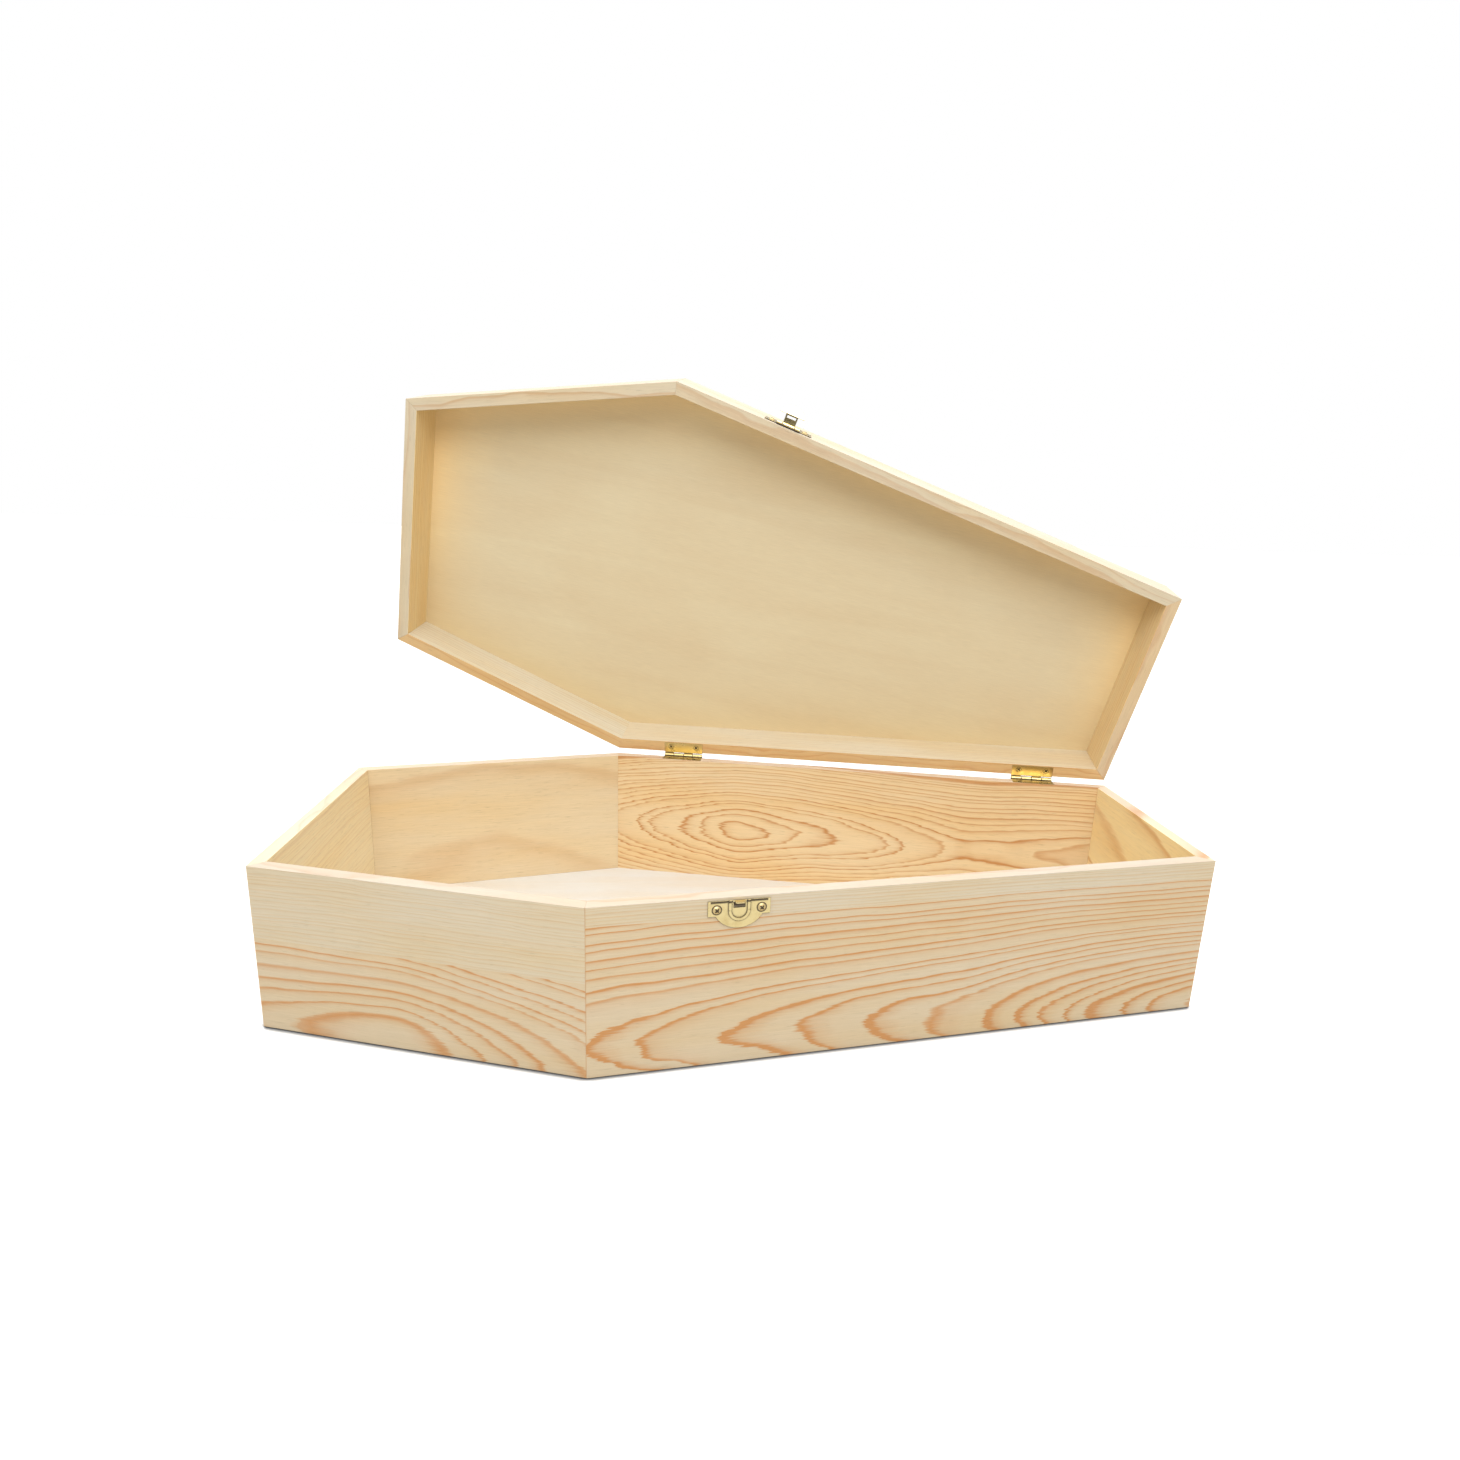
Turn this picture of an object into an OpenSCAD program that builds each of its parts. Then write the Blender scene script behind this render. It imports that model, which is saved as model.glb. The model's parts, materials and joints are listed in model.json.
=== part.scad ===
// Six-sided pine keepsake box with a hinged lid, standing open.
// Head end at -X, foot end at +X, hinge side at +Y, latch side at -Y, underside at Z = 0.

/* [Box outline] */
// Length from the head end to the foot end
box_length = 508; // [460:2:560]
// Width across the head end
head_width = 166; // [150:2:180]
// Width across the shoulders, the widest place
shoulder_width = 256; // [236:2:276]
// Width across the foot end
foot_width = 132; // [116:2:148]
// Distance from the head end to the shoulders
shoulder_at = 171; // [155:1:187]

/* [Boards and panels] */
// Height of the base, from its underside to its rim
base_height = 90; // [70:1:120]
// Height of the lid, from its rim to its top
lid_height = 32.5; // [28:0.5:50]
// Thickness of the pine boards
board_t = 7.6; // [7:0.1:9]
// Thickness of the plywood top and bottom panels
panel_t = 2.5; // [2:0.1:4]
// Gap between the two rims when the lid is shut
rim_gap = 0.5; // [0.4:0.1:1]

/* [Pose] */
// Angle of the lid, where 0 is shut
lid_open = 80; // [0:1:110]
// Angle of the latch arm, where 0 hangs down along the front
arm_open = 90; // [0:1:110]

/* [Hinges] */
// Length of a hinge along its pin
hinge_len = 27.6; // [24:0.4:32]
// Width of a hinge leaf on the rim
leaf_w = 7; // [6:0.1:7]
// Thickness of the hinge's brass sheet
leaf_t = 0.9; // [0.8:0.1:1.2]
// Distance of the pin's axis behind the back board
pin_out = 2.8; // [2.6:0.1:3.2]
// Middle of the head-side hinge, from the shoulder along the back board
hinge_at_head = 48; // [40:1:80]
// Middle of the foot-side hinge, from the shoulder along the back board
hinge_at_foot = 294; // [250:1:300]
// Distance between the two screws of a leaf
hinge_screw_gap = 18.4; // [16:0.2:20]

/* [Latch] */
// Middle of the latch, from the shoulder along the front board
latch_at = 73.2; // [50:0.2:280]
// Width of the catch plate and of the hasp plate
plate_w = 31; // [29:0.5:34]
// Thickness of the latch's brass sheet
plate_t = 0.7; // [0.6:0.1:0.8]
// Distance between the two screws of a plate
plate_screw_gap = 22.2; // [22:0.2:24]
// Width of the arm's stem
stem_w = 7.8; // [7.6:0.2:8.4]
// Width of the arm's thumb piece
thumb_w = 15.6; // [13:0.2:16]

/* [Hidden] */

$fn = 64;
cut = 1; // how far a cutting shape runs past the face that it opens
pine = [0.93, 0.80, 0.62];
plywood = [0.94, 0.86, 0.70];
brass = [0.85, 0.68, 0.33];

// Corners of the outline, anticlockwise from above, starting at the head's front corner
outline = [
    [-box_length / 2, -head_width / 2],
    [shoulder_at - box_length / 2, -shoulder_width / 2],
    [box_length / 2, -foot_width / 2],
    [box_length / 2, foot_width / 2],
    [shoulder_at - box_length / 2, shoulder_width / 2],
    [-box_length / 2, head_width / 2]];
rabbet_w = board_t / 2;           // width of the step that a panel lies in
rim_z = base_height + rim_gap;    // height of the lid's rim when it is shut
pin_z = base_height + rim_gap / 2;

pin_r = 0.75;                     // hinge pin
knuckle_r = 1.6;                  // outside of a hinge's rolled knuckle
knuckles = 4;                     // lid, base, lid, base from head to foot
knuckle_gap = 0.3;
run_fit = 0.05;                   // radial clearance of a turning knuckle
notch_in = 0.8;                   // reach of the leaf's sheet behind the board
hinge_screw_head_r = 1.9;
hinge_screw_r = 0.9;
hinge_recess = 2.3;               // length of the cross recess in a hinge screw's head
hinge_screw_len = 9;
pilot_gap = 0.05;

plate_drop = 1.4;                 // from a rim to the nearest edge of its brass
ear_h = 8;                        // straight height of a plate's two ears
moon_r = 13.6;                    // half-moon below the ears
moon_reach = 14.6;                // from a plate's straight edge to the moon's tip
plate_screw_z = 4.6;              // from a plate's straight edge to its screws
plate_screw_head_r = 2.2;
plate_screw_head_h = 0.9;
plate_screw_r = 1;
plate_screw_len = 6;
ring_r = 5.4;                     // raised ring round the catch's window
ring_z = 5.3;
ring_w = 1.5;
ring_h = 0.5;
window_w = 5.8;
window_h = 3.2;
nose_root_w = 7;                  // catch's nose where it leaves the plate
nose_w = 5.1;
nose_out = 3.6;                   // reach of the nose from the board's face
nose_root_h = 1.1;                // height of the wide root
nose_step = 0.4;                  // height over which the root narrows
nose_chamfer = 0.8;

hasp_pin_r = 0.5;
hasp_knuckle_r = 1.15;
hasp_pin_out = 1.45;              // hasp pin's axis in front of the board's face
hasp_pin_up = plate_drop + hasp_knuckle_r;
hasp_knuckle_len = 3.4;
stem_len = 6.7;
slot_w = 5.8;
slot_low = 4.3;                   // slot's near and far edges, from the pin's axis
slot_high = 5.8;
thumb_r = 8.3;
thumb_len = 5.6;
thumb_flare = 25;

// Corner i of the outline moved inwards by d, square to both of its edges
function inward(a, b) = [a[1] - b[1], b[0] - a[0]] / norm(b - a);
function inset(i, d) =
    let (n = len(outline),
         before = inward(outline[(i + n - 1) % n], outline[i % n]),
         after = inward(outline[i % n], outline[(i + 1) % n]))
    outline[i % n] + d * (before + after) / (1 + before * after);

// Frames of the two long boards: +X from the shoulder to the foot along the outer face
module on_board(shoulder, foot) {
    run = foot - shoulder;
    translate([shoulder[0], shoulder[1], 0]) rotate([0, 0, atan2(run[1], run[0])]) children();
}
module on_back_board() on_board(outline[4], outline[3]) children();
module on_front_board() on_board(outline[1], outline[2]) children();

// Takes a lid drawn shut to its open place, turning on the hinge pins
module swing_lid() {
    run = outline[3] - outline[4];
    turn = atan2(run[1], run[0]);
    on_back_board()
        translate([0, pin_out, pin_z]) rotate([-lid_open, 0, 0]) translate([0, -pin_out, -pin_z])
            rotate([0, 0, -turn]) translate([-outline[4][0], -outline[4][1], 0]) children();
}

// A lid is drawn as a base turned over: its rim goes to rim_z and its panel to the top
module turned_over() translate([0, 0, rim_z + lid_height]) mirror([0, 0, 1]) children();

// Board i, mitred at both ends, with a rabbet for the panel along its inner lower edge
module board(i, height) {
    start = outline[i];
    run = outline[(i + 1) % len(outline)] - start;
    intersection() {
        translate([start[0], start[1], 0]) rotate([0, 0, atan2(run[1], run[0])])
            translate([-board_t, 0, 0]) rotate([90, 0, 90]) linear_extrude(norm(run) + 2 * board_t)
                polygon([[0, 0], [rabbet_w, 0], [rabbet_w, panel_t],
                    [board_t, panel_t], [board_t, height], [0, height]]);
        translate([0, 0, -cut]) linear_extrude(height + 2 * cut)
            polygon([inset(i, -cut), inset(i + 1, -cut), inset(i + 1, board_t + cut), inset(i, board_t + cut)]);
    }
}

module panel() linear_extrude(panel_t) polygon([for (i = [0:5]) inset(i, rabbet_w)]);

// Screw shank with a point, head at Z = 0, pointing down
module shank(r, length) {
    translate([0, 0, r - length]) cylinder(r = r, h = length - r);
    translate([0, 0, -length]) cylinder(r1 = r / 4, r2 = r, h = r);
}

// Cross-shaped cut of the given length at Z = 0, a quarter of it wide and a quarter deep
module cross_recess(size) {
    for (a = [45, 135]) rotate([0, 0, a]) cube([size, size / 4, size / 2], center = true);
}

// ---- hinges, drawn on the base's rim with the pin along +X and the board towards -Y ----

module each_hinge_screw() {
    for (side = [-1, 1]) translate([side * hinge_screw_gap / 2, -board_t / 2, 0]) children();
}

// Cone from the shank at the leaf's back to the head at Z = 0, carried on past its face by extra
module countersink(extra) {
    slope = (hinge_screw_head_r - hinge_screw_r) / leaf_t;
    translate([0, 0, -leaf_t])
        cylinder(r1 = hinge_screw_r, r2 = hinge_screw_head_r + slope * extra, h = leaf_t + extra);
}

module hinge_screws() {
    each_hinge_screw() difference() {
        union() {
            countersink(0);
            shank(hinge_screw_r, hinge_screw_len);
        }
        cross_recess(hinge_recess);
    }
}

// Mortise and pilot holes that one leaf needs in its board's rim
module hinge_seat() {
    translate([-hinge_len / 2, -leaf_w, -leaf_t]) cube([hinge_len, leaf_w + cut, leaf_t + cut]);
    each_hinge_screw() shank(hinge_screw_r + pilot_gap, hinge_screw_len + pilot_gap);
}

// One leaf: first is 0 when it has the knuckle nearest the head, else 1
module hinge_leaf(first, bore_r) {
    pitch = hinge_len / knuckles;
    axis_z = rim_gap / 2;
    difference() {
        union() {
            translate([-hinge_len / 2, -leaf_w, -leaf_t]) cube([hinge_len, leaf_w + notch_in, leaf_t]);
            for (k = [first:2:knuckles - 1])
                translate([(k - knuckles / 2) * pitch + knuckle_gap / 2, 0, 0]) {
                    translate([0, 0, -leaf_t]) cube([pitch - knuckle_gap, pin_out, leaf_t]);
                    translate([0, pin_out, axis_z]) rotate([0, 90, 0])
                        cylinder(r = knuckle_r, h = pitch - knuckle_gap);
                }
        }
        translate([-hinge_len, pin_out, axis_z]) rotate([0, 90, 0]) cylinder(r = bore_r, h = 2 * hinge_len);
        each_hinge_screw() {
            countersink(leaf_t / 2);
            translate([0, 0, -leaf_t - cut]) cylinder(r = hinge_screw_r, h = cut + leaf_t / 2);
        }
    }
}

module hinge_pin() {
    translate([-hinge_len / 2, pin_out, rim_gap / 2]) rotate([0, 90, 0]) cylinder(r = pin_r, h = hinge_len);
}

// Places on the base's rim, and on the lid's rim with the lid shut
module at_base_hinge(x) on_back_board() translate([x, 0, base_height]) children();
module at_lid_hinge(x) on_back_board() translate([x, 0, rim_z]) mirror([0, 0, 1]) children();

// ---- latch, drawn with +Z outwards, +X towards the foot, and +Y away from the rims ----

module half_moon_plate() {
    linear_extrude(plate_t) union() {
        translate([-plate_w / 2, 0]) square([plate_w, ear_h]);
        intersection() {
            translate([0, moon_reach - moon_r]) circle(r = moon_r);
            translate([-plate_w / 2, 0]) square([plate_w, moon_reach + cut]);
        }
    }
}

module each_plate_screw() {
    for (side = [-1, 1]) translate([side * plate_screw_gap / 2, plate_screw_z, 0]) children();
}

// Pan-head screws on the plate's face
module plate_screws() {
    dome_r = (pow(plate_screw_head_r, 2) + pow(plate_screw_head_h, 2)) / (2 * plate_screw_head_h);
    each_plate_screw() difference() {
        union() {
            intersection() {
                translate([0, 0, plate_t + plate_screw_head_h - dome_r]) sphere(r = dome_r);
                translate([0, 0, plate_t]) cylinder(r = plate_screw_head_r, h = plate_screw_head_h);
            }
            translate([0, 0, plate_t]) shank(plate_screw_r, plate_screw_len);
        }
        translate([0, 0, plate_t + plate_screw_head_h]) cross_recess(plate_screw_head_r);
    }
}

module plate_screw_holes(gap) {
    each_plate_screw() translate([0, 0, plate_t]) shank(plate_screw_r + gap, plate_screw_len + pilot_gap);
}

// Raised U round the catch's window
module catch_ring() {
    difference() {
        union() {
            translate([0, ring_z]) cylinder(r = ring_r, h = plate_t + ring_h);
            translate([-ring_r, 0, 0]) cube([2 * ring_r, ring_z, plate_t + ring_h]);
        }
        translate([0, ring_z, -cut]) cylinder(r = ring_r - ring_w, h = 2 * cut + plate_t + ring_h);
        translate([-ring_r + ring_w, -cut, -cut])
            cube([2 * (ring_r - ring_w), ring_z + cut, 2 * cut + plate_t + ring_h]);
    }
}

// Flat nose that the arm's slot drops over, bent straight out from the plate's edge
module catch_nose() {
    root = nose_root_w / 2;
    tip = nose_w / 2;
    translate([0, plate_t, 0]) rotate([90, 0, 0]) linear_extrude(plate_t)
        polygon([[-root, 0], [root, 0], [root, nose_root_h], [tip, nose_root_h + nose_step],
            [tip, nose_out - nose_chamfer], [tip - nose_chamfer, nose_out],
            [nose_chamfer - tip, nose_out], [-tip, nose_out - nose_chamfer],
            [-tip, nose_root_h + nose_step], [-root, nose_root_h]]);
}

module hasp_bore(r) {
    translate([-plate_w, -hasp_knuckle_r, hasp_pin_out]) rotate([0, 90, 0]) cylinder(r = r, h = 2 * plate_w);
}

// Places on the front faces: the base's below its rim, the lid's above its rim
module at_catch() {
    on_front_board() translate([latch_at, 0, base_height - plate_drop])
        rotate([90, 0, 0]) mirror([0, 1, 0]) children();
}
module at_hasp() {
    on_front_board() translate([latch_at, 0, rim_z + hasp_pin_up + hasp_knuckle_r])
        rotate([90, 0, 0]) children();
}

// ---- base ----

module base_head_board() color(pine) board(5, base_height);
module base_foot_board() color(pine) board(2, base_height);
module base_shoulder_board_front() color(pine) board(0, base_height);
module base_shoulder_board_back() color(pine) board(4, base_height);

module base_side_board_front() color(pine) difference() {
    board(1, base_height);
    at_catch() plate_screw_holes(pilot_gap);
}

module base_side_board_back() color(pine) difference() {
    board(3, base_height);
    at_base_hinge(hinge_at_head) hinge_seat();
    at_base_hinge(hinge_at_foot) hinge_seat();
}

module base_bottom_panel() color(plywood) panel();

module hinge_head_base_leaf() color(brass) at_base_hinge(hinge_at_head) hinge_leaf(1, pin_r);
module hinge_foot_base_leaf() color(brass) at_base_hinge(hinge_at_foot) hinge_leaf(1, pin_r);
module hinge_head_pin() color(brass) at_base_hinge(hinge_at_head) hinge_pin();
module hinge_foot_pin() color(brass) at_base_hinge(hinge_at_foot) hinge_pin();
module hinge_head_base_screws() color(brass) at_base_hinge(hinge_at_head) hinge_screws();
module hinge_foot_base_screws() color(brass) at_base_hinge(hinge_at_foot) hinge_screws();

module catch_plate() color(brass) at_catch() {
    difference() {
        union() {
            half_moon_plate();
            catch_ring();
        }
        translate([-window_w / 2, plate_t, -cut]) cube([window_w, window_h, 2 * cut + plate_t]);
        plate_screw_holes(0);
    }
    catch_nose();
}

module catch_screws() color(brass) at_catch() plate_screws();

// ---- lid ----

module lid_head_board() color(pine) swing_lid() turned_over() board(5, lid_height);
module lid_foot_board() color(pine) swing_lid() turned_over() board(2, lid_height);
module lid_shoulder_board_front() color(pine) swing_lid() turned_over() board(0, lid_height);
module lid_shoulder_board_back() color(pine) swing_lid() turned_over() board(4, lid_height);

module lid_side_board_front() color(pine) swing_lid() difference() {
    turned_over() board(1, lid_height);
    at_hasp() plate_screw_holes(pilot_gap);
}

module lid_side_board_back() color(pine) swing_lid() difference() {
    turned_over() board(3, lid_height);
    at_lid_hinge(hinge_at_head) hinge_seat();
    at_lid_hinge(hinge_at_foot) hinge_seat();
}

module lid_top_panel() color(plywood) swing_lid() turned_over() panel();

module hinge_head_lid_leaf() color(brass) swing_lid() at_lid_hinge(hinge_at_head) hinge_leaf(0, pin_r + run_fit);
module hinge_foot_lid_leaf() color(brass) swing_lid() at_lid_hinge(hinge_at_foot) hinge_leaf(0, pin_r + run_fit);
module hinge_head_lid_screws() color(brass) swing_lid() at_lid_hinge(hinge_at_head) hinge_screws();
module hinge_foot_lid_screws() color(brass) swing_lid() at_lid_hinge(hinge_at_foot) hinge_screws();

module hasp_plate() color(brass) swing_lid() at_hasp() difference() {
    union() {
        half_moon_plate();
        for (side = [-1, 1])
            translate([side * (stem_w + knuckle_gap * 2 + hasp_knuckle_len) / 2, 0, 0]) {
                translate([-hasp_knuckle_len / 2, -hasp_knuckle_r, hasp_pin_out]) rotate([0, 90, 0])
                    cylinder(r = hasp_knuckle_r, h = hasp_knuckle_len);
                translate([-hasp_knuckle_len / 2, -hasp_knuckle_r, 0])
                    cube([hasp_knuckle_len, hasp_knuckle_r, hasp_pin_out - hasp_knuckle_r + plate_t]);
            }
    }
    hasp_bore(hasp_pin_r);
    plate_screw_holes(0);
}

module hasp_screws() color(brass) swing_lid() at_hasp() plate_screws();

module hasp_pin() color(brass) swing_lid() at_hasp() intersection() {
    hasp_bore(hasp_pin_r);
    cube([stem_w + 2 * (knuckle_gap + hasp_knuckle_len), plate_w, plate_w], center = true);
}

// ---- latch arm, drawn with the pin's axis along X, hanging towards -Y, +Z outwards ----

module arm_blank() {
    sheet_z = hasp_knuckle_r - plate_t;
    rotate([0, 90, 0]) cylinder(r = hasp_knuckle_r, h = stem_w, center = true);
    translate([-stem_w / 2, -stem_len, sheet_z]) cube([stem_w, stem_len, plate_t]);
    translate([0, -stem_len, hasp_knuckle_r]) rotate([-thumb_flare, 0, 0]) translate([0, 0, -plate_t])
        linear_extrude(plate_t) intersection() {
            translate([0, thumb_r - thumb_len]) circle(r = thumb_r);
            translate([-thumb_w / 2, -thumb_len - cut]) square([thumb_w, thumb_len + cut + plate_t / 2]);
        }
}

module hasp_arm() color(brass) swing_lid() at_hasp() translate([0, -hasp_knuckle_r, hasp_pin_out])
    rotate([-arm_open, 0, 0]) difference() {
        arm_blank();
        rotate([0, 90, 0]) cylinder(r = hasp_pin_r + run_fit, h = 2 * stem_w, center = true);
        translate([-slot_w / 2, -slot_high, 0]) cube([slot_w, slot_high - slot_low, 2 * hasp_knuckle_r]);
    }

base_head_board();
base_foot_board();
base_shoulder_board_front();
base_shoulder_board_back();
base_side_board_front();
base_side_board_back();
base_bottom_panel();
lid_head_board();
lid_foot_board();
lid_shoulder_board_front();
lid_shoulder_board_back();
lid_side_board_front();
lid_side_board_back();
lid_top_panel();
hinge_head_base_leaf();
hinge_head_lid_leaf();
hinge_head_pin();
hinge_head_base_screws();
hinge_head_lid_screws();
hinge_foot_base_leaf();
hinge_foot_lid_leaf();
hinge_foot_pin();
hinge_foot_base_screws();
hinge_foot_lid_screws();
catch_plate();
catch_screws();
hasp_plate();
hasp_screws();
hasp_pin();
hasp_arm();
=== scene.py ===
import json
import math
import bpy
from mathutils import Matrix, Vector


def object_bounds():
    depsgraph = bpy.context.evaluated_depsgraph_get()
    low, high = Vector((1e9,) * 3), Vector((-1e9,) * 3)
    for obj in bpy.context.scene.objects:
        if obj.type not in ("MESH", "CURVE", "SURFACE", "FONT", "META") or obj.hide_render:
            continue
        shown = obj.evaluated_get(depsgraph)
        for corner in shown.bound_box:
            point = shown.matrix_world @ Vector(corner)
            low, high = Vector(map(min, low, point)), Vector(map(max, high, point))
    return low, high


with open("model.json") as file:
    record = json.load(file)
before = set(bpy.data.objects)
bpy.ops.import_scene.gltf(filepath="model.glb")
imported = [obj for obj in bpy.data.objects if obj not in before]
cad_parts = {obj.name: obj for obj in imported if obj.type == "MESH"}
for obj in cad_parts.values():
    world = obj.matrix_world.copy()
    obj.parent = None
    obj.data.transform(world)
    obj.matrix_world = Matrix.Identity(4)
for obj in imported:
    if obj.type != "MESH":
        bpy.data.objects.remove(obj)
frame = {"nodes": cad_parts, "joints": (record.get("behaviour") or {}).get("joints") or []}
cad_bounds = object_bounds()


# ---- Camera ----
# The open box is seen from its latch side, from a little above the rim and close by,
# so the head and foot ends draw together towards the back.
camera = bpy.data.objects.new("camera", bpy.data.cameras.new("camera"))
camera.location = (-0.0454, -0.5077, 0.2745)
camera.rotation_euler = [math.radians(angle) for angle in (75.085, -1.842, -3.134)]
camera.data.sensor_width = 36
camera.data.lens = 22.145
camera.data.shift_x = 0.0034
camera.data.shift_y = 0.0033
camera.data.clip_start = 0.01
bpy.context.scene.collection.objects.link(camera)
bpy.context.scene.camera = camera


# ---- Studio floor and light ----
# A sheet of white paper lies under the box and runs out of sight. The light is a soft white
# sky, far brighter overhead than at the sides, with one round softbox in front. A dark patch is
# painted on the paper in front and met by reflected light alone, a painted dark reflection for the
# brass to mirror. Where the box stands close above the paper, the paper is painted darker as a
# painted contact shadow.
MM = 0.001
FLOOR_HALF = 6.0
FLOOR_GAP = 0.6 * MM
SKY_TOP = 2.5
SKY_SIDE = 0.34
PAPER_SEEN = 0.93
PAPER_BOUNCE = 0.45
CONTACT_REACH = 5 * MM
CONTACT_SHADOW_TONE = 0.15
CONTACT_SHUT = 0.55
CONTACT_CLEAR = 0.86
FLECK_DEPTH = 0.05 * MM
SOFTBOX_SIZE = 1.1
SOFTBOX_POWER = 16
SOFTBOX_AT = (0.0, -1.15, 1.15)
SOFTBOX_AIM = (0.0, 0.0, 0.2)
PAINTED_DARK_TONE = 0.02
PAINTED_DARK_NEAR = -0.75
PAINTED_DARK_FAR = -2.2
PAINTED_DARK_HALF = 0.9

floor_level = cad_bounds[0][2] - FLOOR_GAP
floor_corners = [(x * FLOOR_HALF, y * FLOOR_HALF, floor_level)
                 for x, y in ((-1, -1), (1, -1), (1, 1), (-1, 1))]
mesh = bpy.data.meshes.new("floor")
mesh.from_pydata(floor_corners, [], [(0, 1, 2, 3)])
floor = bpy.data.objects.new("floor", mesh)
bpy.context.scene.collection.objects.link(floor)


def add_node(tree, kind, inputs=None, **settings):
    """Adds a shader node; inputs maps its sockets to values or to other nodes' outputs."""
    made = tree.nodes.new(kind)
    for name, value in settings.items():
        setattr(made, name, value)
    for name, value in (inputs or {}).items():
        if isinstance(value, bpy.types.NodeSocket):
            tree.links.new(value, made.inputs[name])
        else:
            made.inputs[name].default_value = value
    return made.outputs


def calc(tree, operation, *values):
    """The output of a Math node over the given numbers or sockets."""
    return add_node(tree, "ShaderNodeMath", dict(enumerate(values)), operation=operation)[0]


def new_material(name):
    """An empty material with its output node, and its node tree."""
    material = bpy.data.materials.new(name)
    material.use_nodes = True
    tree = material.node_tree
    tree.nodes.clear()
    return material, tree


def finish_material(tree, shader):
    """Joins the shader to the material's output."""
    add_node(tree, "ShaderNodeOutputMaterial", {"Surface": shader})


paper, tree = new_material("white_paper")
place = add_node(tree, "ShaderNodeTexCoord")["Object"]
fleck = add_node(tree, "ShaderNodeTexNoise", {"Vector": place, "Scale": 900, "Detail": 2})[0]
paper_bump = add_node(tree, "ShaderNodeBump", {"Height": fleck, "Strength": 0.1, "Distance": FLECK_DEPTH})[0]
at = add_node(tree, "ShaderNodeSeparateXYZ", {0: place})
# Painted dark reflection: a dark patch on the paper in front, seen only by bounce light.
beside = calc(tree, "LESS_THAN", calc(tree, "ABSOLUTE", at["X"]), PAINTED_DARK_HALF)
in_front = calc(tree, "COMPARE", at["Y"], (PAINTED_DARK_NEAR + PAINTED_DARK_FAR) / 2, (PAINTED_DARK_NEAR - PAINTED_DARK_FAR) / 2)
painted_dark = calc(tree, "MULTIPLY", beside, in_front)
bounce = add_node(tree, "ShaderNodeMix", {"Factor": painted_dark, "A": PAPER_BOUNCE, "B": PAINTED_DARK_TONE})[0]
seen = add_node(tree, "ShaderNodeLightPath")["Is Camera Ray"]
paper_tone = add_node(tree, "ShaderNodeMix", {"Factor": seen, "A": bounce, "B": PAPER_SEEN})[0]
# Painted contact shadow: the paper is darkened where the box stands close above it.
open_sky = add_node(tree, "ShaderNodeAmbientOcclusion", {"Distance": CONTACT_REACH}, samples=16)["AO"]
clear = add_node(tree, "ShaderNodeMapRange", {
    "Value": open_sky, "From Min": CONTACT_SHUT, "From Max": CONTACT_CLEAR})[0]
paper_tone = add_node(tree, "ShaderNodeMix", {"Factor": clear, "A": CONTACT_SHADOW_TONE, "B": paper_tone})[0]
finish_material(tree, add_node(tree, "ShaderNodeBsdfPrincipled", {
    "Base Color": paper_tone, "Roughness": 0.9, "Specular IOR Level": 0.1, "Normal": paper_bump})[0])
floor.data.materials.append(paper)

world = bpy.data.worlds.new("studio")
world.use_nodes = True
bpy.context.scene.world = world
tree = world.node_tree
tree.nodes.clear()
way = add_node(tree, "ShaderNodeTexCoord")["Generated"]
up = add_node(tree, "ShaderNodeSeparateXYZ", {"Vector": way})["Z"]
overhead = calc(tree, "MULTIPLY", up, calc(tree, "MAXIMUM", up, 0))
sky = calc(tree, "MULTIPLY_ADD", overhead, SKY_TOP, SKY_SIDE)
seen = add_node(tree, "ShaderNodeLightPath")["Is Camera Ray"]
strength = add_node(tree, "ShaderNodeMix", {"Factor": seen, "A": sky, "B": 1.0})[0]
backdrop = add_node(tree, "ShaderNodeBackground", {"Color": (1, 1, 1, 1), "Strength": strength})[0]
add_node(tree, "ShaderNodeOutputWorld", {"Surface": backdrop})

softbox = bpy.data.objects.new("softbox", bpy.data.lights.new("softbox", "AREA"))
softbox.data.shape = "DISK"
softbox.data.size = SOFTBOX_SIZE
softbox.data.energy = SOFTBOX_POWER
softbox.location = SOFTBOX_AT
softbox.rotation_euler = (Vector(SOFTBOX_AIM) - Vector(SOFTBOX_AT)).to_track_quat("-Z", "Y").to_euler()
bpy.context.scene.collection.objects.link(softbox)
bpy.context.scene.view_settings.view_transform = "Standard"


# ---- Base boards ----
# Six boards of planed, unfinished pine stand round the base, mitred and glued where they
# meet. Each is sawn from its own part of the log, so each shows its own rings.
nodes = frame["nodes"]
BOARD_THICK = 7.6
BOARD_EDGE = 0.25 * MM
EDGE_ANGLE = 30
GLUE_LINE = 0.25
STRIP_CALM = 0.3
SEAM = 0.4
SEAM_DARK = 0.35
ROUNDED = 10
FEATHER = 9
RIPPLE = 0.22
UNEVEN = 1.6
SEASON = [(0.0, 0.4), (0.06, 0.0), (0.45, 0.03), (0.76, 0.3), (0.92, 1.0), (1.0, 0.7)]
FIBRE_SHADE = 0.34
CANAL_SHADE = 0.16
SCUFF_SHADE = 0.12
FACE_STARTS = 0.35
FACE_FULL = 0.1
SAPWOOD = (0.54, 0.47, 0.345)
HEARTWOOD = (0.70, 0.58, 0.40)
LATEWOOD = (0.48, 0.23, 0.08)
SCUFFED = (0.70, 0.58, 0.42)
WARMER = (1.0, 0.93, 0.80)
UNDER_STRIP = (1.01, 0.95, 0.88)
# Painted highlight: the rims are made paler and cooler, as lit strongly from above.
RIM_PAINTED_LIGHT = (0.98, 1.0, 1.14)
UNTINTED = (1.0, 1.0, 1.0)
RING_RELIEF = 0.12 * MM


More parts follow.
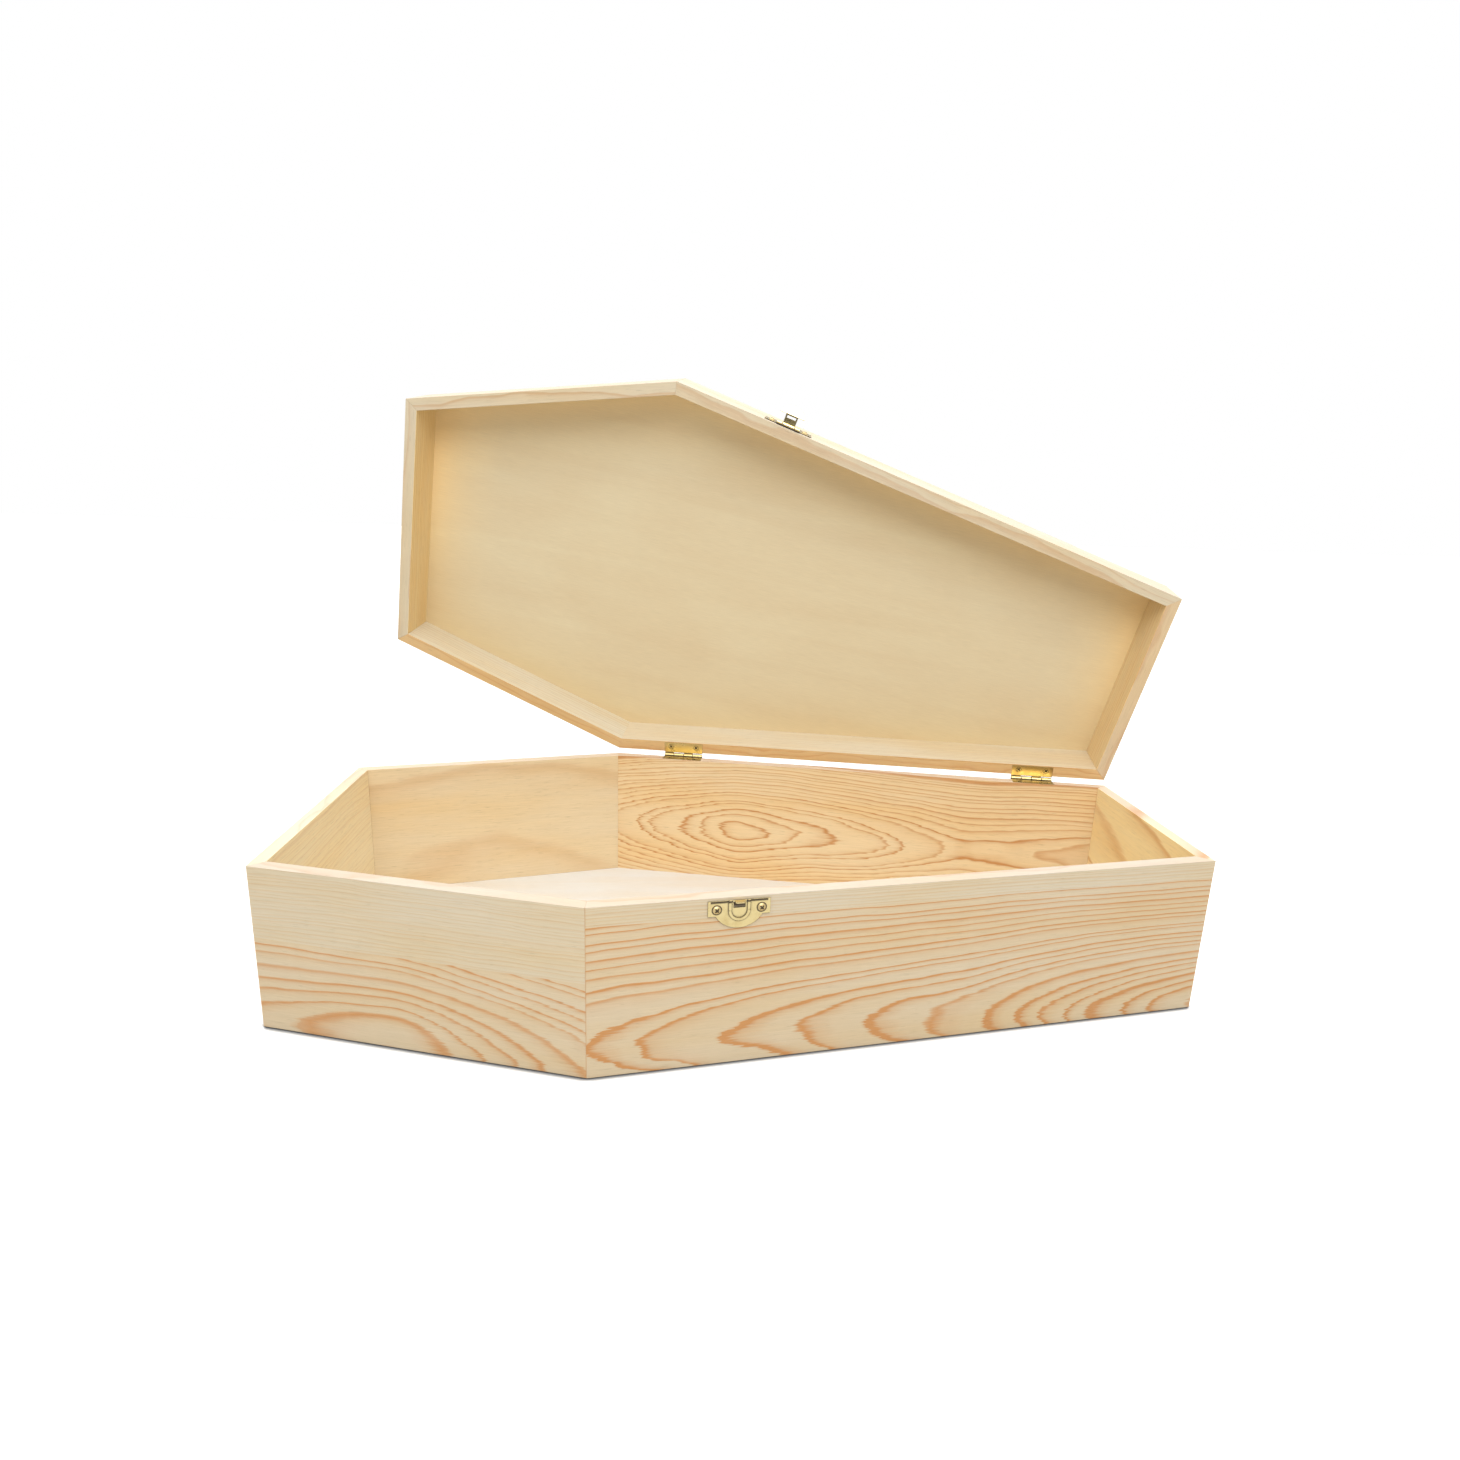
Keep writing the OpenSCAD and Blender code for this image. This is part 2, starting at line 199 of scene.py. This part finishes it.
def ease_edges(name, width):
    """Eases a CAD node's sharp edges by a width in metres too small to show as a shape."""
    node = nodes[name]
    node.data.shade_flat()
    weld = node.modifiers.new("weld", "WELD")
    weld.merge_threshold = 1e-6
    bevel = node.modifiers.new("eased_edges", "BEVEL")
    bevel.width = width
    bevel.segments = 2
    bevel.limit_method = "ANGLE"
    bevel.angle_limit = math.radians(EDGE_ANGLE)


def board_place(name, shut=Matrix.Identity(4)):
    """A board's own axes, X along its outer edge at the panel side, Y inwards and Z towards its rim,
    and its length and height in millimetres. shut is the turn that closes the lid."""
    corners = [shut @ v.co for v in nodes[name].data.vertices]
    lid = shut != Matrix.Identity(4)
    heights = [c.z for c in corners]
    level = max(heights) if lid else min(heights)
    edge = [c for c in corners if abs(c.z - level) < 0.01 * MM]
    start, end = max(((a, b) for a in edge for b in edge), key=lambda pair: (pair[1] - pair[0]).length)
    to_rim = Vector((0, 0, -1 if lid else 1))
    along = (end - start).normalized()
    if to_rim.cross(along).dot(-start) < 0:
        start, along = end, -along
    inwards = to_rim.cross(along)
    place = Matrix((along, inwards, to_rim)).transposed().to_4x4()
    place.translation = start
    rim = max((place.inverted() @ c).z for c in corners)
    return shut.inverted() @ place, (end - start).length / MM, rim / MM


def mixed(tree, factor, a, b, blend="MIX"):
    """The colour output of a Mix node."""
    made = tree.nodes.new("ShaderNodeMix")
    made.data_type = "RGBA"
    made.blend_type = blend
    for socket, value in zip((made.inputs[0], made.inputs[6], made.inputs[7]), (factor, a, b)):
        if isinstance(value, bpy.types.NodeSocket):
            tree.links.new(value, socket)
        else:
            socket.default_value = value
    return made.outputs[2]


def stretched(tree, point, sizes, **inputs):
    """Noise from 0 to 1 whose lumps have these sizes in millimetres along X, Y and Z."""
    per_lump = [1 / size for size in sizes]
    moved = add_node(tree, "ShaderNodeVectorMath", {0: point, 1: per_lump}, operation="MULTIPLY")[0]
    return add_node(tree, "ShaderNodeTexNoise", {"Vector": moved, "Scale": 1, "Detail": 2, **inputs})


def on_piece(tree, place):
    """The shaded point in millimetres along a piece's own axes, which lie where place says."""
    rest = add_node(tree, "ShaderNodeTexCoord")["Object"]
    return add_node(tree, "ShaderNodeMapping", {
        "Vector": rest, "Location": place.translation, "Rotation": place.to_euler(), "Scale": (MM, MM, MM)},
        vector_type="TEXTURE")[0]


def graded(tree, value, stops):
    """A ramp through (position, grey) stops."""
    made = tree.nodes.new("ShaderNodeValToRGB")
    ramp = made.color_ramp
    while len(ramp.elements) < len(stops):
        ramp.elements.new(0.5)
    for element, (position, grey) in zip(ramp.elements, stops):
        element.position = position
        element.color = (grey, grey, grey, 1)
    tree.links.new(value, made.inputs[0])
    return made.outputs[0]


def growth_rings():
    """Node group: how dark the year's late wood is at a point given in a board's millimetres.
    The pith runs past the board at the given depth behind its outer face and height above its edge."""
    group = bpy.data.node_groups.new("growth_rings", "ShaderNodeTree")
    group.interface.new_socket("Point", in_out="INPUT", socket_type="NodeSocketVector")
    for name in ("Along", "Depth", "Height", "Depth slope", "Height slope",
                 "Swell", "Swell reach", "Ring", "Wander"):
        group.interface.new_socket(name, in_out="INPUT", socket_type="NodeSocketFloat")
    group.interface.new_socket("Late", in_out="OUTPUT", socket_type="NodeSocketFloat")
    asked = group.nodes.new("NodeGroupInput").outputs
    fibre = stretched(group, asked["Point"], (45, 0.9, 0.9), Detail=1)[0]
    wave = add_node(group, "ShaderNodeSeparateXYZ", {0: stretched(group, asked["Point"], (120, 38, 38))[1]})
    ripple = add_node(group, "ShaderNodeSeparateXYZ", {0: stretched(group, asked["Point"], (26, 11, 11))[1]})
    at = add_node(group, "ShaderNodeSeparateXYZ", {0: asked["Point"]})
    feather = calc(group, "MULTIPLY", calc(group, "SUBTRACT", fibre, 0.5), FEATHER)
    along = calc(group, "ADD", calc(group, "SUBTRACT", at["X"], asked["Along"]), feather)
    away = calc(group, "SQRT", calc(group, "MULTIPLY_ADD", along, along, ROUNDED ** 2))
    away = calc(group, "SMOOTH_MIN", away, asked["Swell reach"], ROUNDED)
    depth = calc(group, "SUBTRACT", asked["Depth"], at["Y"])
    depth = calc(group, "MULTIPLY_ADD", asked["Depth slope"], along, depth)
    depth = calc(group, "MULTIPLY_ADD", asked["Swell"], away, depth)
    rise = calc(group, "SUBTRACT", at["Z"], asked["Height"])
    rise = calc(group, "SUBTRACT", rise, calc(group, "MULTIPLY", asked["Height slope"], along))
    for noise, size in ((wave, 1.0), (ripple, RIPPLE)):
        reach = calc(group, "MULTIPLY", asked["Wander"], size)
        depth = calc(group, "MULTIPLY_ADD", calc(group, "SUBTRACT", noise["X"], 0.5), reach, depth)
        rise = calc(group, "MULTIPLY_ADD", calc(group, "SUBTRACT", noise["Y"], 0.5), reach, rise)
    squared = calc(group, "MULTIPLY_ADD", depth, depth, calc(group, "MULTIPLY", rise, rise))
    years = calc(group, "DIVIDE", calc(group, "SQRT", squared), asked["Ring"])
    slowly = calc(group, "MULTIPLY", years, 0.45)
    uneven = add_node(group, "ShaderNodeTexNoise", {"W": slowly, "Scale": 1, "Detail": 1},
                      noise_dimensions="1D")[0]
    years = calc(group, "MULTIPLY_ADD", uneven, UNEVEN, years)
    season = graded(group, calc(group, "FRACT", years), SEASON)
    whole_year = calc(group, "FLOOR", years)
    year = add_node(group, "ShaderNodeTexWhiteNoise", {"W": whole_year}, noise_dimensions="1D")[0]
    late = calc(group, "MULTIPLY", season, calc(group, "MULTIPLY_ADD", year, 0.4, 0.6))
    given = group.nodes.new("NodeGroupOutput")
    group.links.new(late, given.inputs[0])
    return group


rings_group = growth_rings()


def rings(tree, point, along, depth, height, ring, depth_slope=0.0, height_slope=0.0,
          swell=0.0, swell_reach=400, wander=8.0):
    """The late wood for a pith that passes the point (along, depth, height), in millimetres. Its depth
    grows by depth_slope along the board, and by swell on both sides of the point up to swell_reach."""
    late = add_node(tree, "ShaderNodeGroup", {}, node_tree=rings_group)["Late"]
    group = late.node
    tree.links.new(point, group.inputs["Point"])
    values = {"Along": along, "Depth": depth, "Height": height, "Ring": ring, "Depth slope": depth_slope,
              "Height slope": height_slope, "Swell": swell, "Swell reach": swell_reach, "Wander": wander}
    for name, value in values.items():
        group.inputs[name].default_value = value
    return late


def bare_wood(tree, colour, roughness, normal):
    """The shader of unfinished wood: dull, with a little sheen from its raised fibres."""
    return add_node(tree, "ShaderNodeBsdfPrincipled", {
        "Base Color": colour, "Roughness": roughness, "Specular IOR Level": 0.35, "Sheen Weight": 0.25,
        "Sheen Roughness": 0.35, "Normal": normal})[0]


def pine(name, place, length, height, lower, upper=None, glue_line=0.0, late_amount=1.0, tint=SAPWOOD,
         inner=UNTINTED, outer=UNTINTED, rim=RIM_PAINTED_LIGHT):
    """Planed pine for one board. lower gives the rings of the board; upper, where given, those of a
    second strip that is edge-glued above the glue_line, in millimetres from the panel side. inner,
    outer and rim are painted light: they tint the board's inner face, its outer face and its rim
    lighter, darker or warmer for how light falls on each."""
    material, tree = new_material(name)
    point = on_piece(tree, place)
    at = add_node(tree, "ShaderNodeSeparateXYZ", {0: point})
    darkness = calc(tree, "MULTIPLY", rings(tree, point, **lower), late_amount)
    if upper:
        above = add_node(tree, "ShaderNodeMapRange", {
            "Value": at["Z"], "From Min": glue_line - GLUE_LINE, "From Max": glue_line})[0]
        calm = calc(tree, "MULTIPLY", rings(tree, point, **upper), STRIP_CALM * late_amount)
        darkness = add_node(tree, "ShaderNodeMix", {"Factor": above, "A": darkness, "B": calm})[0]
    broad = stretched(tree, point, (140, 30, 24), Detail=3)[0]
    darkness = calc(tree, "MULTIPLY", darkness, calc(tree, "MULTIPLY_ADD", broad, 0.9, 0.5))
    fibre = stretched(tree, point, (22, 0.55, 0.55), Detail=3, Roughness=0.7)[0]
    canal = graded(tree, stretched(tree, point, (7, 0.3, 0.3), Detail=0)[0], [(0.72, 0), (0.78, 1)])
    warm = [plain * warmer for plain, warmer in zip(tint, WARMER)]
    wood = mixed(tree, graded(tree, broad, [(0.35, 0), (0.68, 1)]), (*tint, 1), (*warm, 1))
    if upper:
        wood = mixed(tree, above, mixed(tree, 1.0, wood, (*UNDER_STRIP, 1), "MULTIPLY"), wood)
    wood = mixed(tree, darkness, wood, (*LATEWOOD, 1))
    # Painted light: each face's tint stands for how light falls on that face.
    faces = (("Y", 1, BOARD_THICK, inner), ("Y", -1, 0, outer), ("Z", 1, height, rim))
    for axis, away, face, face_tint in faces:
        on_face = add_node(tree, "ShaderNodeMapRange", {
            "Value": at[axis], "From Min": face - FACE_STARTS * away, "From Max": face - FACE_FULL * away})[0]
        wood = mixed(tree, on_face, wood, (*face_tint, 1), "MULTIPLY")
    shade = calc(tree, "MULTIPLY_ADD", calc(tree, "SUBTRACT", fibre, 0.5), FIBRE_SHADE, 1.0)
    shade = calc(tree, "SUBTRACT", shade, calc(tree, "MULTIPLY", canal, CANAL_SHADE))
    wood = add_node(tree, "ShaderNodeVectorMath", {0: wood, "Scale": shade}, operation="SCALE")[0]
    middle = calc(tree, "ABSOLUTE", calc(tree, "SUBTRACT", at["X"], length / 2))
    seam = add_node(tree, "ShaderNodeMapRange", {
        "Value": middle, "From Min": length / 2 - SEAM, "From Max": length / 2 - SEAM / 3})[0]
    wood = mixed(tree, calc(tree, "MULTIPLY", seam, SEAM_DARK), wood, (*LATEWOOD, 1))
    handled = stretched(tree, point, (30, 18, 18), Detail=5, Roughness=0.65)[0]
    scuff = graded(tree, handled, [(0.55, 0), (0.75, 1)])
    wood = mixed(tree, calc(tree, "MULTIPLY", scuff, SCUFF_SHADE), wood, (*SCUFFED, 1))
    rough = add_node(tree, "ShaderNodeMapRange", {"Value": fibre, "To Min": 0.5, "To Max": 0.72})[0]
    relief = calc(tree, "MULTIPLY_ADD", darkness, 0.5, fibre)
    normal = add_node(tree, "ShaderNodeBump", {
        "Height": relief, "Strength": 0.35, "Distance": RING_RELIEF})[0]
    finish_material(tree, bare_wood(tree, wood, rough, normal))
    return material


def dress(name, material, edge):
    """Gives a CAD node its material and eased edges."""
    slots = nodes[name].data.materials
    slots.clear()
    slots.append(material)
    ease_edges(name, edge)


# The inner tints below are painted light: they lighten, darken or warm each board's inner face for how light
# falls inside the box.
base_grain = {
    "base_shoulder_board_front": dict(
        lower=dict(along=80, depth=24, height=1, ring=4.0, swell=0.15, depth_slope=0.05,
                   height_slope=-0.06, wander=6),
        upper=dict(along=0, depth=40, height=-160, ring=2.1, wander=9), glue_line=51, late_amount=1.15),
    "base_side_board_front": dict(
        lower=dict(along=200, depth=36, height=9, ring=3.1, depth_slope=-0.125, height_slope=-0.045,
                   swell=-0.043, wander=5),
        upper=dict(along=0, depth=30, height=-140, ring=1.7, wander=4), glue_line=80, late_amount=1.5),
    "base_foot_board": dict(
        lower=dict(along=60, depth=60, height=-46, ring=27, height_slope=0.4, wander=26), late_amount=0.85,
        tint=HEARTWOOD, inner=(1.3, 1.26, 0.98)),
    "base_side_board_back": dict(
        lower=dict(along=253, depth=32, height=38, ring=2.05, swell=0.115, swell_reach=160,
                   depth_slope=0.025, wander=6),
        late_amount=1.15, tint=HEARTWOOD, inner=(0.98, 0.90, 0.76)),
    "base_shoulder_board_back": dict(
        lower=dict(along=90, depth=110, height=-30, ring=30, swell=0.2, wander=20),
        late_amount=0.4, tint=HEARTWOOD, inner=(0.92, 0.89, 0.82)),
    "base_head_board": dict(
        lower=dict(along=80, depth=60, height=-150, ring=3, wander=12), late_amount=0.3, tint=HEARTWOOD,
        inner=(1.18, 1.2, 1.08)),
}
for name, grain in base_grain.items():
    dress(name, pine("pine_" + name, *board_place(name), **grain), BOARD_EDGE)


# ---- Bottom panel ----
# A sheet of thin plywood lies in a step cut round the boards' lower edges, glued in.
# Its face veneer is peeled from the log, so it shows only broad, faint figure.
BASE_VENEER = (0.62, 0.62, 0.60)
DARK_VENEER = (0.60, 0.46, 0.27)
OUTSIDE_PAINTED_SHADE = (0.85, 0.82, 0.82)
SHELTER_REACH = 50 * MM
MIDDLE_BAND = 45
FACE_HALF = 0.4
PORE_SHADE = 0.16
PORE_DEPTH = 0.08 * MM
PANEL_EDGE = 0.15 * MM


def plywood(name, place, outer_face, pale, amount, sheltered=UNTINTED, front=UNTINTED):
    """Face veneer with soft blotches, long faint streaks and short pores along X. outer_face is the
    height in millimetres of the side that lies outside the box, which is darkened as painted shade.
    sheltered tints the veneer where the boards stand close, as painted bounce light, and front
    does so once more on the latch side, as painted light."""
    material, tree = new_material(name)
    point = on_piece(tree, place)
    blotch = stretched(tree, point, (95, 60, 60), Detail=4, Distortion=0.4)[0]
    figure = stretched(tree, point, (160, 14, 14), Detail=3, Distortion=0.8)[0]
    pore = stretched(tree, point, (9, 0.5, 0.5), Detail=2)[0]
    tone = calc(tree, "MULTIPLY_ADD", figure, 0.7, calc(tree, "MULTIPLY", blotch, 0.9))
    tone = graded(tree, tone, [(0.55, 0), (1.0, 1)])
    wood = mixed(tree, calc(tree, "MULTIPLY", tone, amount), (*pale, 1), (*DARK_VENEER, 1))
    # Painted bounce light: the occlusion mask warms the veneer where the boards stand close.
    open_sky = add_node(tree, "ShaderNodeAmbientOcclusion", {"Distance": SHELTER_REACH}, samples=12)["AO"]
    near = graded(tree, open_sky, [(0.5, 1), (0.97, 0)])
    wood = mixed(tree, near, wood, (*sheltered, 1), "MULTIPLY")
    at = add_node(tree, "ShaderNodeSeparateXYZ", {0: point})
    outside = calc(tree, "COMPARE", at["Z"], outer_face, FACE_HALF)
    # Painted shade: the side that lies outside the box is darkened.
    wood = mixed(tree, outside, wood, (*OUTSIDE_PAINTED_SHADE, 1), "MULTIPLY")
    # Painted light: on the latch side the veneer is lightened once more, lifting the shade of the lid's front
    # board.
    latch_side = add_node(tree, "ShaderNodeMapRange", {
        "Value": at["Y"], "From Min": MIDDLE_BAND, "From Max": -MIDDLE_BAND})[0]
    wood = mixed(tree, calc(tree, "MULTIPLY", near, latch_side), wood, (*front, 1), "MULTIPLY")
    shade = calc(tree, "MULTIPLY_ADD", calc(tree, "SUBTRACT", pore, 0.5), PORE_SHADE, 1.0)
    wood = add_node(tree, "ShaderNodeVectorMath", {0: wood, "Scale": shade}, operation="SCALE")[0]
    rough = add_node(tree, "ShaderNodeMapRange", {"Value": blotch, "To Min": 0.48, "To Max": 0.66})[0]
    normal = add_node(tree, "ShaderNodeBump", {"Height": pore, "Strength": 0.25, "Distance": PORE_DEPTH})[0]
    finish_material(tree, bare_wood(tree, wood, rough, normal))
    return material


base_veneer = plywood("plywood_base", Matrix.Identity(4), 0, BASE_VENEER, 0.4)
dress("base_bottom_panel", base_veneer, PANEL_EDGE)


# ---- Lid boards ----
# The lid is a shallower tray of the same six pine boards, turned over. It stands open,
# so its boards' axes are found with the lid turned back about the hinge pins.
hinge = next(j for j in frame["joints"] if j["name"] == "lid_hinge")
to_shut = (Matrix.Translation(hinge["pos_m"])
           @ Matrix.Rotation(math.radians(hinge["range_deg"][0]), 4, Vector(hinge["axis"]))
           @ Matrix.Translation(-Vector(hinge["pos_m"])))

LID_LATE = 0.5
LID_WOOD = (0.64, 0.55, 0.40)
# Painted light: these and the inner and rim tints below lighten, darken or warm each lid face for how light
# falls on it; the back rims are painted shade.
LID_RIM = (0.96, 0.95, 0.92)
SIDE_PAINTED_LIGHT = (1.0, 1.03, 1.12)
SHADED_RIM = (1.02, 0.80, 0.52)
lid_grain = {
    "lid_shoulder_board_front": dict(lower=dict(along=40, depth=50, height=-130, ring=2.2, wander=7),
                                     outer=SIDE_PAINTED_LIGHT, rim=LID_RIM),
    "lid_side_board_front": dict(lower=dict(along=40, depth=60, height=-150, ring=1.9, wander=8),
                                 outer=SIDE_PAINTED_LIGHT, rim=LID_RIM),
    "lid_foot_board": dict(lower=dict(along=20, depth=40, height=-110, ring=2.8, wander=8),
                           inner=(1.22, 1.10, 0.80), rim=(0.98, 0.88, 0.76)),
    "lid_side_board_back": dict(lower=dict(along=100, depth=50, height=-120, ring=2.1, wander=9),
                                inner=(0.95, 0.97, 0.98), rim=SHADED_RIM),
    "lid_shoulder_board_back": dict(lower=dict(along=40, depth=70, height=-100, ring=2.6, wander=7),
                                    inner=(0.95, 1.0, 1.04), rim=SHADED_RIM),
    "lid_head_board": dict(lower=dict(along=40, depth=60, height=-140, ring=2.3, wander=7),
                           inner=(1.26, 1.12, 0.74), rim=LID_RIM),
}
for name, grain in lid_grain.items():
    lid_pine = pine("pine_" + name, *board_place(name, to_shut), **grain, late_amount=LID_LATE, tint=LID_WOOD)
    dress(name, lid_pine, BOARD_EDGE)


# ---- Lid panel ----
# The lid's top is the same thin plywood, let into a step round the boards' upper edge and
# glued. Its inner face is painted warmer where the boards stand close, as painted bounce light,
# and lighter towards the latch side, as painted light.
LID_VENEER = (0.67, 0.57, 0.37)
PAINTED_WALL_BOUNCE = (1.03, 0.97, 0.86)
FRONT_PAINTED_LIGHT = (1.36, 1.30, 1.16)

lid_top = max((to_shut @ v.co).z for v in nodes["lid_top_panel"].data.vertices) / MM
lid_veneer = plywood("plywood_lid", to_shut.inverted(), lid_top, LID_VENEER, 0.45, PAINTED_WALL_BOUNCE, FRONT_PAINTED_LIGHT)
dress("lid_top_panel", lid_veneer, PANEL_EDGE)


# ---- Hinges ----
# Two small butt hinges pressed from brass sheet: each leaf is sunk in a rim and held by two
# countersunk screws, and its rolled knuckles turn on a brass pin.
LEAF_EDGE = 0.12 * MM
SCREW_EDGE = 0.06 * MM
HINGE_BRASS = (0.60, 0.47, 0.21)
BRASS_DARK = (0.58, 0.40, 0.14)
PAINTED_SHADE_COLOUR = (0.035, 0.02, 0.008)
PAINTED_EDGE_WIDTH = 0.5 * MM
CORNER_REACH = 1.5 * MM
SCRATCH_DEPTH = 0.03 * MM
CREASE_DEPTH = 0.2 * MM


def brass(name, colour, roughness, crease=None):
    """Polished brass with rubbed patches, faint tarnish and fine scratches, and with near-black painted
    shade along its edges and in its corners. crease, where given, is a function that marks where more
    painted shade lies, and a bump is pressed there too."""
    material, tree = new_material(name)
    point = add_node(tree, "ShaderNodeTexCoord")["Object"]
    cloud = add_node(tree, "ShaderNodeTexNoise", {"Vector": point, "Scale": 220, "Detail": 4})[0]
    speck = add_node(tree, "ShaderNodeTexNoise", {"Vector": point, "Scale": 2600, "Detail": 2})[0]
    tarnish = graded(tree, cloud, [(0.45, 0), (0.75, 1)])
    metal = mixed(tree, calc(tree, "MULTIPLY", tarnish, 0.45), (*colour, 1), (*BRASS_DARK, 1))
    # Painted shade: near-black colour in corners and along edges, where the AO and Bevel nodes find them.
    open_sky = add_node(tree, "ShaderNodeAmbientOcclusion", {"Distance": CORNER_REACH}, samples=12)["AO"]
    painted_shade = graded(tree, open_sky, [(0.68, 1.0), (0.95, 0)])
    rounded = add_node(tree, "ShaderNodeBevel", {"Radius": PAINTED_EDGE_WIDTH}, samples=6)[0]
    flat = add_node(tree, "ShaderNodeNewGeometry")["True Normal"]
    level = add_node(tree, "ShaderNodeVectorMath", {0: rounded, 1: flat}, operation="DOT_PRODUCT")["Value"]
    painted_shade = calc(tree, "MAXIMUM", painted_shade, graded(tree, level, [(0.86, 0.92), (0.985, 0)]))
    normal = add_node(tree, "ShaderNodeBump", {
        "Height": speck, "Strength": 0.15, "Distance": SCRATCH_DEPTH})[0]
    if crease:
        pressed = crease(tree)
        painted_shade = calc(tree, "MAXIMUM", painted_shade, pressed)
        normal = add_node(tree, "ShaderNodeBump", {
            "Height": pressed, "Strength": 0.6, "Distance": CREASE_DEPTH, "Normal": normal}, invert=True)[0]
    metal = mixed(tree, painted_shade, metal, (*PAINTED_SHADE_COLOUR, 1))
    rough = add_node(tree, "ShaderNodeMapRange", {
        "Value": cloud, "To Min": roughness * 0.7, "To Max": roughness * 1.6})[0]
    finish_material(tree, add_node(tree, "ShaderNodeBsdfPrincipled", {
        "Base Color": metal, "Metallic": calc(tree, "SUBTRACT", 1, painted_shade), "Roughness": rough,
        "Normal": normal})[0])
    return material


hinge_brass = brass("hinge_brass", HINGE_BRASS, 0.26)
for end in ("head", "foot"):
    for leaf in ("base_leaf", "lid_leaf"):
        dress(f"hinge_{end}_{leaf}", hinge_brass, LEAF_EDGE)
    for small in ("pin", "base_screws", "lid_screws"):
        dress(f"hinge_{end}_{small}", hinge_brass, SCREW_EDGE)


# ---- Catch ----
# A half-moon plate pressed from thin brass is screwed below the base's front rim. A raised
# ring runs round its window, and a flat nose stands out from its folded upper edge. The wood
# behind the window is painted black as painted shadow, and the plate's fold and screw rings
# get painted shade.
PLATE_EDGE = 0.15 * MM
BRASS = (0.88, 0.72, 0.36)
SCREW_BRASS = (0.74, 0.58, 0.29)
BRIGHT = 0.16
SCREW_SHADE_RING = 0.5
FOLD_NEAR = 3.9
FOLD_FAR = 1.3
FOLD_TOP = 0.2
FOLD_LOW = 1.15
WINDOW_SHADE = (0.05, 0.03, 0.012)
WINDOW_HALF = 4.0
WINDOW_LOW = 5.0
PLATE_THICK = 0.7

front_place = board_place("base_side_board_front")[0]
plate_corners = [front_place.inverted() @ v.co for v in nodes["catch_plate"].data.vertices]
plate_left = min(c.x for c in plate_corners) / MM
plate_right = max(c.x for c in plate_corners) / MM
plate_middle = (plate_left + plate_right) / 2
plate_half = (plate_right - plate_left) / 2
plate_top = max(c.z for c in plate_corners) / MM


def screw_heads():
    """The catch screws' places across and up the board, and their heads' radius, in millimetres."""
    corners = [front_place.inverted() @ v.co / MM for v in nodes["catch_screws"].data.vertices]
    left_screw = [c for c in corners if c.x < plate_middle]
    right_screw = [c for c in corners if c.x > plate_middle]
    for screw in (left_screw, right_screw):
        low = min(c.x for c in screw)
        high = max(c.x for c in screw)
        up = (min(c.z for c in screw) + max(c.z for c in screw)) / 2
        yield (low + high) / 2, up, (high - low) / 2


def plate_painted_shade(tree):
    """1 where painted shade lies: in the crease below the catch plate's folded edge, on both sides of the
    nose, and in a ring round each screw head."""
    at = add_node(tree, "ShaderNodeSeparateXYZ", {0: on_piece(tree, front_place)})
    aside = calc(tree, "ABSOLUTE", calc(tree, "SUBTRACT", at["X"], plate_middle))
    down = calc(tree, "SUBTRACT", plate_top, at["Z"])
    marked = calc(tree, "GREATER_THAN", aside, FOLD_NEAR)
    marked = calc(tree, "MULTIPLY", marked, calc(tree, "LESS_THAN", aside, plate_half - FOLD_FAR))
    for level, width in ((FOLD_TOP, 0.1), (FOLD_LOW, -0.25)):
        marked = calc(tree, "MULTIPLY", marked, add_node(tree, "ShaderNodeMapRange", {
            "Value": down, "From Min": level - width, "From Max": level + width})[0])
    for across, up, radius in screw_heads():
        dx = calc(tree, "SUBTRACT", at["X"], across)
        dz = calc(tree, "SUBTRACT", at["Z"], up)
        reach = calc(tree, "SQRT", calc(tree, "MULTIPLY_ADD", dx, dx, calc(tree, "MULTIPLY", dz, dz)))
        ring_shade = add_node(tree, "ShaderNodeMapRange", {
            "Value": reach, "From Min": radius + SCREW_SHADE_RING, "From Max": radius + SCREW_SHADE_RING / 2})[0]
        marked = calc(tree, "MAXIMUM", marked, ring_shade)
    return marked


turned = brass("turned_brass", SCREW_BRASS, 0.42)
dress("catch_plate", brass("catch_brass", BRASS, BRIGHT, plate_painted_shade), PLATE_EDGE)
dress("catch_screws", turned, SCREW_EDGE)

# Painted shadow: the front board's wood behind the catch window is darkened towards black, most just under
# the nose.
tree = nodes["base_side_board_front"].data.materials[0].node_tree
surface = next(n for n in tree.nodes if n.type == "BSDF_PRINCIPLED").inputs["Base Color"]
bare = surface.links[0].from_socket
at = add_node(tree, "ShaderNodeSeparateXYZ", {0: on_piece(tree, front_place)})
behind = calc(tree, "COMPARE", at["X"], plate_middle, WINDOW_HALF)
behind = calc(tree, "MULTIPLY", behind, calc(tree, "LESS_THAN", at["Z"], plate_top - PLATE_THICK))
behind = calc(tree, "MULTIPLY", behind, calc(tree, "LESS_THAN", at["Y"], PLATE_THICK))
shade = add_node(tree, "ShaderNodeMapRange", {
    "Value": at["Z"], "From Min": plate_top - WINDOW_LOW, "From Max": plate_top - WINDOW_LOW / 2})[0]
window_shadowed = mixed(tree, calc(tree, "MULTIPLY", behind, shade), bare, (*WINDOW_SHADE, 1))
tree.links.new(window_shadowed, surface)


# ---- Hasp ----
# The lid carries the same half-moon plate the other way up, with two rolled ears that hold
# a pin. The slotted arm swings on the pin and drops over the catch's nose.
polished = brass("polished_brass", BRASS, BRIGHT)
for name in ("hasp_plate", "hasp_arm"):
    dress(name, polished, PLATE_EDGE)
for name in ("hasp_screws", "hasp_pin"):
    dress(name, turned, SCREW_EDGE)
